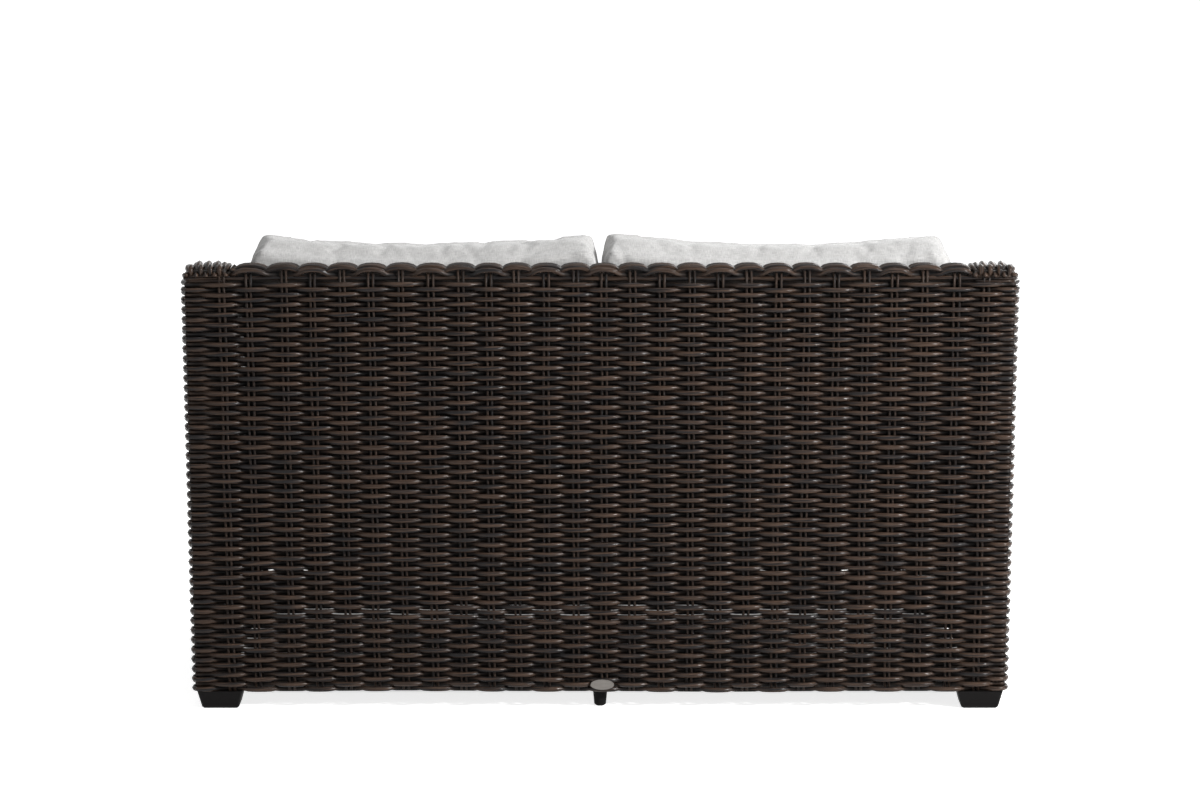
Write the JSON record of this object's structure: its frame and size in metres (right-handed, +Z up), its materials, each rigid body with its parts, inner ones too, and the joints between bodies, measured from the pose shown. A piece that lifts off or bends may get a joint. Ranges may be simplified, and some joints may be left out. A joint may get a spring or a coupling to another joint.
{
  "type": "patio loveseat",
  "caption": "Two-seat woven patio loveseat with sloping arms, tube frame, webbing deck, block feet and loose seat and back cushions.",
  "frame": {"origin": "middle of the footprint, on the floor", "axes": "+Z up, -Y the way the sitter faces, +X to the sitter's left"},
  "size_m": [1.5236, 0.89, 0.8549],
  "materials": {
    "woven_resin": "round woven strands, streaked dark brown and grey-black, satin",
    "frame_tube": "dark brown powder coat",
    "webbing": "elastic webbing, ribbed",
    "clip_steel": "zinc plated",
    "foot_plastic": "moulded, finely grained",
    "tag_metal": "brushed, bare",
    "cushion_fabric": "light grey heathered woven outdoor cloth",
    "cushion_foam": "open-cell foam"
  },
  "bodies": {
    "frame": {"base_rail_front": "frame_tube", "base_rail_rear": "frame_tube", "base_rail_left": "frame_tube", "base_rail_right": "frame_tube", "seat_rail_front": "frame_tube", "seat_rail_rear": "frame_tube", "seat_rail_left": "frame_tube", "seat_rail_right": "frame_tube", "rear_post_left": "frame_tube", "rear_post_right": "frame_tube", "front_post_left": "frame_tube", "front_post_right": "frame_tube", "arm_rail_left": "frame_tube", "arm_rail_right": "frame_tube", "back_top_rail": "frame_tube", "back_upright_left": "frame_tube", "back_upright_right": "frame_tube", "seat_strut_front": "frame_tube", "seat_strut_rear": "frame_tube", "seat_bearer": "frame_tube", "back_weave_outer": "woven_resin", "back_rim_weave": "woven_resin", "back_weave_inner": "woven_resin", "arm_weave_outer_left": "woven_resin", "arm_weave_outer_right": "woven_resin", "arm_weave_inner_left": "woven_resin", "arm_weave_inner_right": "woven_resin", "arm_weave_top_left": "woven_resin", "arm_weave_top_right": "woven_resin", "arm_weave_front_left": "woven_resin", "arm_weave_front_right": "woven_resin", "front_apron_weave": "woven_resin", "webbing_front_to_rear": "webbing", "webbing_side_to_side": "webbing", "webbing_clips": "clip_steel", "foot_front_left": "foot_plastic", "foot_front_right": "foot_plastic", "foot_rear_left": "foot_plastic", "foot_rear_right": "foot_plastic", "foot_screws": "clip_steel", "centre_foot_front": "foot_plastic", "centre_foot_rear": "foot_plastic", "oval_tag": "tag_metal", "tag_rivets": "tag_metal"},
    "seat_cushion_left": {"seat_cushion_cover_left": "cushion_fabric", "seat_cushion_core_left": "cushion_foam"},
    "back_cushion_left": {"back_cushion_cover_left": "cushion_fabric", "back_cushion_core_left": "cushion_foam"},
    "seat_cushion_right": {"seat_cushion_cover_right": "cushion_fabric", "seat_cushion_core_right": "cushion_foam"},
    "back_cushion_right": {"back_cushion_cover_right": "cushion_fabric", "back_cushion_core_right": "cushion_foam"}
  },
  "joints": [
    {"name": "seat_cushion_left_lift", "type": "slide", "parent": "frame", "child": "seat_cushion_left", "axis": [0, 0, 1], "range_m": [0, 0.52]},
    {"name": "back_cushion_left_lift", "type": "slide", "parent": "seat_cushion_left", "child": "back_cushion_left", "axis": [0, 0, 1], "range_m": [0, 0.38]},
    {"name": "seat_cushion_right_lift", "type": "slide", "parent": "frame", "child": "seat_cushion_right", "axis": [0, 0, 1], "range_m": [0, 0.52]},
    {"name": "back_cushion_right_lift", "type": "slide", "parent": "seat_cushion_right", "child": "back_cushion_right", "axis": [0, 0, 1], "range_m": [0, 0.38]}
  ]
}
